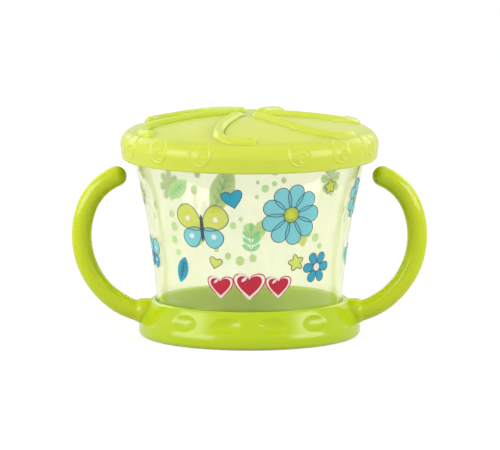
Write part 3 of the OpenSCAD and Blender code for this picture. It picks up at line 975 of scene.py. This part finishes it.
def sprig(r, ink, pairs):
    """Leaves in pairs up a stem."""
    parts = mark(ink, "dot", 0, 0, 0.035 * r, r)
    for k in range(pairs):
        y = (-0.6 + 1.3 * k / pairs) * r + 0.22 * r
        for side, a in ((1, 40), (-1, 140)):
            parts += mark(ink, "leaf", side * 0.3 * r, y, 0.36 * r, 0.4 * r, a)
    return parts + mark(ink, "leaf", 0, r, 0.3 * r, 0.36 * r, 90)


def sticker_heart(r):
    """A crimson heart with a cream border and a thin crimson line round it."""
    border = mark("cream", "heart", 0, 0, 1.32 * r, layer=1)
    parts = border + mark("crimson", "heart", 0, 0, r, layer=2)
    parts += mark("cream", "leaf", -0.42 * r, 0.42 * r, 0.3 * r, turn=40, layer=3)
    return parts + [("crimson", *border[0][1:-1], 1.5 * LINE)]


def veined_leaf(r, ink, line, turn):
    """A leaf with a rib along its middle and short veins off it."""
    parts = mark(ink, "leaf", 0, 0, r, 1.25 * r, turn)
    veins = [(0, 0, 0.82, 0)]  # place along and off the rib, half-length, turn
    for x in (-0.5, -0.2, 0.1, 0.4):
        veins += [(x + 0.12, side * 0.13, 0.17, side * 48) for side in (1, -1)]
    for x, y, length, a in veins:
        x, y = turned(np.array([x * r, y * r]), math.radians(turn))
        parts += mark(line, "dot", x, y, length * r, 0.035 * r, turn + a, 1)
    return parts


def dots(*places):
    """Pale dots, each with its place from the trail's own and its half-width."""
    return [part for x, y, r in places for part in mark("pale", "dot", x, y, r, 1.08 * r)]


def single(ink, kind, r, turn=0, line=None):
    """One shape, with a line round it if asked."""
    return mark(ink, kind, 0, 0, r, turn=turn, line=line)


# Motifs by place: angle from the front in degrees, height in millimetres, parts
MOTIFS = [
    # front
    (23, 53, daisy(11.5, 9, "sky", "olive", "slate")),
    (-27, 47.5, butterfly(10.5, "olive", "sky", "slate")),
    (-9, 60, single("teal", "heart", 4.4, 12, "slate")),
    (-40, 62.5, veined_leaf(6.5, "pale", "leaf", 35)),
    (-43, 30, veined_leaf(5.5, "teal", "slate", 70)),
    (1, 42.5, sprig(6, "leaf", 3)),
    (43, 31, daisy(6, 6, "teal", "cream", "slate")),
    (28, 33.5, single("olive", "star", 3.4, 12, "slate")),
    (-20, 34, single("olive", "heart", 2.8, -15, "slate")),
    (46, 63, single("olive", "star", 3, 12, "slate")),
    (8, 64, dots((0, 0, 1.5), (3.6, 1.8, 1), (-3.2, -3.4, 0.8), (-3, 2.5, 0.7))),
    (-47, 46, dots((0, 6, 1.4), (0.6, 1, 1.7), (-0.4, -4.4, 1.5), (1, -9.4, 1.2))),
    (40, 43, dots((0, 0, 1.6), (2.6, -3.6, 1.1), (-3.4, 1.4, 1))),
    (-9, 49, dots((0, 0, 1.3), (3.1, 2.6, 0.8))),
    (-17.5, 24.8, sticker_heart(4.1)),
    (0, 25.4, sticker_heart(4.9)),
    (17.5, 24.8, sticker_heart(4.1)),
    # sides
    (78, 56, daisy(7.5, 7, "sky", "olive", "slate")),
    (84, 33, single("sky", "heart", 5, 10, "slate")),
    (-76, 34, butterfly(7, "sky", "teal", "slate")),
    (-82, 57, single("olive", "star", 4.6, -8, "slate")),
    (100, 45, dots((0, 0, 1.8), (4, 3, 1.2), (-4, -3.6, 1.4))),
    (-102, 46, dots((0, 0, 1.6), (3.8, -3, 1.2), (-4, 3.8, 1.5))),
    # back, paler
    (150, 42, veined_leaf(12, "olive", "pale", 72)),
    (196, 52, veined_leaf(10, "pale", "leaf", 118)),
    (176, 36, single("pale", "heart", 5, -10)),
    (214, 34, single("pale", "heart", 4.2, 14)),
    (128, 58, daisy(6, 7, "pale", "olive", None)),
    (232, 56, daisy(6, 7, "pale", "olive", None)),
    (205, 63, dots((0, 0, 1.8), (3.8, -4, 1.4), (6, -10, 1.7), (-4.4, 2, 1.2))),
    (166, 60, dots((0, 0, 1.9), (4.4, 2.2, 1.3), (-4, -3.8, 1.1))),
    (186, 24, dots((0, 0, 1.8), (5, 2, 1.3), (-5.4, 1, 1.5), (10, 5, 1.1))),
]


class SNACK_OT_print(bpy.types.Operator):
    """Printed motifs, one object for each ink, laid thinly on the cup's wall."""

    bl_idname = "snack.print"
    bl_label = "Print"

    def execute(self, context):
        inks = {}
        for angle, z, parts in MOTIFS:
            for ink, kind, *at, layer, line in parts:
                points = placed(outline(kind), *at)
                place = (angle, z * MM, layer)
                patch = banded(points, line * MM, *place) if line else filled(points, *place)
                inks.setdefault(ink, []).append(patch)
        for ink in sorted(inks):
            make_piece(f"print_{ink}", inks[ink], pad_ink(ink), "base")
        return {"FINISHED"}


# ---- stage ----


# each lamp's azimuth and elevation, distance and size in metres, and watts
LAMPS = {
    "left_softbox": (-64, 22, 1.3, (1.2, 0.7), 12.5),
    "right_softbox": (67, 22, 1.3, (0.9, 0.65), 10),
    "top_softbox": (-10, 78, 1.4, (1.2, 1.2), 0.8),
    "back_left_softbox": (-142, 26, 1.4, (0.8, 0.7), 3.2),
    "back_right_softbox": (142, 26, 1.4, (0.8, 0.7), 3.2),
}
TABLE_GLOW = 0.72  # share of the table's own white in what is seen of it


class SNACK_OT_stage(bpy.types.Operator):
    """White table, soft studio lights, and a camera at the photograph's angle."""

    bl_idname = "snack.stage"
    bl_label = "Stage"

    def execute(self, context):
        scene = context.scene
        s = scene.snack_stage
        floor_object()
        white_world(scene)
        for name, settings in LAMPS.items():
            soft_box(name, *settings)
        camera = bpy.data.cameras.new("camera")
        camera.sensor_width = 36
        camera.lens = 36 * s.distance / s.width
        camera.clip_end = 100
        obj = bpy.data.objects.new("camera", camera)
        scene.collection.objects.link(obj)
        e = s.elevation
        middle = np.array([0.0002, 0, 0.0436])  # the point in the middle of the view
        obj.location = middle + s.distance * np.array([0, -math.cos(e), math.sin(e)])
        obj.rotation_euler = (math.pi / 2 - e, 0, 0)
        scene.camera = obj
        scene.view_settings.view_transform = "Standard"
        return {"FINISHED"}


def seen_directly(tree):
    """1 for rays from the camera, off gloss or through something clear, else 0."""
    rays = add(tree, "LightPath").outputs
    most = {"operation": "MAXIMUM"}
    seen = add(tree, "Math", {0: rays["Is Camera Ray"], 1: rays["Is Glossy Ray"]}, **most)
    seen = add(tree, "Math", {0: seen.outputs[0], 1: rays["Is Transmission Ray"]}, **most)
    return seen.outputs[0]


def floor_object():
    """A round white table: rings of points from the middle out, flat at z = 0. What is
    seen of it is mostly its own white, so that the object's shadow stays faint."""
    material, tree, out, place = blank("white_table_board")
    fibre = add(tree, "TexNoise", {"Vector": place, "Scale": per(40), "Detail": 3})
    ends = {"Factor": fibre.outputs["Fac"], "A": linear("#c6c6c6"), "B": linear("#cacaca")}
    tone = add(tree, "Mix", ends, data_type="RGBA")
    board = add(tree, "BsdfDiffuse", {"Color": tone.outputs["Result"]})
    glow = add(tree, "Emission", {"Strength": 1.18})
    level = add(tree, "Math", {0: seen_directly(tree), 1: TABLE_GLOW}, operation="MULTIPLY")
    both = add(tree, "MixShader", {0: level.outputs[0], 1: board.outputs[0], 2: glow.outputs[0]})
    tree.links.new(both.outputs[0], out.inputs["Surface"])
    angles = full_turn(96)
    radii = np.concatenate([[0], np.geomspace(0.02, 12, 40)])
    rings = spun(np.stack([radii, 0 * radii], -1), angles)[1:]
    points = np.concatenate([rings.reshape(-1, 3), [[0, 0, 0]]])
    quads = lattice(len(rings), len(angles), loop_cols=True)[:, ::-1]
    j = np.arange(len(angles))
    fan = np.stack([j, (j + 1) % len(angles), 0 * j + len(points) - 1], -1)
    make_piece("table", [(points, quads, fan)], material, None)


def white_world(scene):
    """A white surround for what is seen, plainly or in a reflection, and a lower level
    for the light that it gives."""
    world = bpy.data.worlds.new("white_room")
    scene.world = world
    world.use_nodes = True
    tree = world.node_tree
    tree.nodes.clear()
    level = add(tree, "MapRange", {"Value": seen_directly(tree), "To Min": 0.66, "To Max": 1})
    sky = add(tree, "Background", {"Color": (1, 1, 1, 1), "Strength": level.outputs[0]})
    out = add(tree, "OutputWorld")
    tree.links.new(sky.outputs[0], out.inputs["Surface"])


def soft_box(name, azimuth, elevation, distance, shape, watts):
    """A rectangular lamp that looks at the object's middle. Azimuth 0 is the camera's
    side, and it grows to the right."""
    lamp = bpy.data.lights.new(name, "AREA")
    lamp.shape = "RECTANGLE"
    lamp.size, lamp.size_y = shape
    lamp.energy = watts
    obj = bpy.data.objects.new(name, lamp)
    a, e = math.radians(azimuth), math.radians(elevation)
    obj.location = (
        distance * math.sin(a) * math.cos(e),
        -distance * math.cos(a) * math.cos(e),
        0.05 + distance * math.sin(e),
    )
    obj.rotation_euler = (math.pi / 2 - e, 0, a)
    bpy.context.scene.collection.objects.link(obj)


# ---- panel and registration ----

OPERATORS = (
    SNACK_OT_cup,
    SNACK_OT_base,
    SNACK_OT_handles,
    SNACK_OT_lid_rim,
    SNACK_OT_flaps,
    SNACK_OT_print,
    SNACK_OT_stage,
)
GROUPS = {
    "snack_cup": CupSizes,
    "snack_base": BaseSizes,
    "snack_handle": HandleSizes,
    "snack_lid": LidSizes,
    "snack_finish": Finishes,
    "snack_stage": StageSettings,
}


class SNACK_PT_panel(bpy.types.Panel):
    """Lists the pieces and their sizes in the sidebar."""

    bl_idname = "SNACK_PT_panel"
    bl_label = "Snack container"
    bl_space_type = "VIEW_3D"
    bl_region_type = "UI"
    bl_category = "Snack container"

    def draw(self, context):
        for operator in OPERATORS:
            self.layout.operator(operator.bl_idname)
        for key, group in GROUPS.items():
            box = self.layout.box()
            for name in group.__annotations__:
                box.prop(getattr(context.scene, key), name)


CLASSES = (*GROUPS.values(), *OPERATORS, SNACK_PT_panel)


def register():
    for cls in CLASSES:
        bpy.utils.register_class(cls)
    for key, group in GROUPS.items():
        setattr(bpy.types.Scene, key, PointerProperty(type=group))


def unregister():
    for key in GROUPS:
        delattr(bpy.types.Scene, key)
    for cls in reversed(CLASSES):
        bpy.utils.unregister_class(cls)


def main():
    register()
    for operator in OPERATORS:
        group, name = operator.bl_idname.split(".")
        getattr(getattr(bpy.ops, group), name)()


if __name__ == "__main__":
    main()
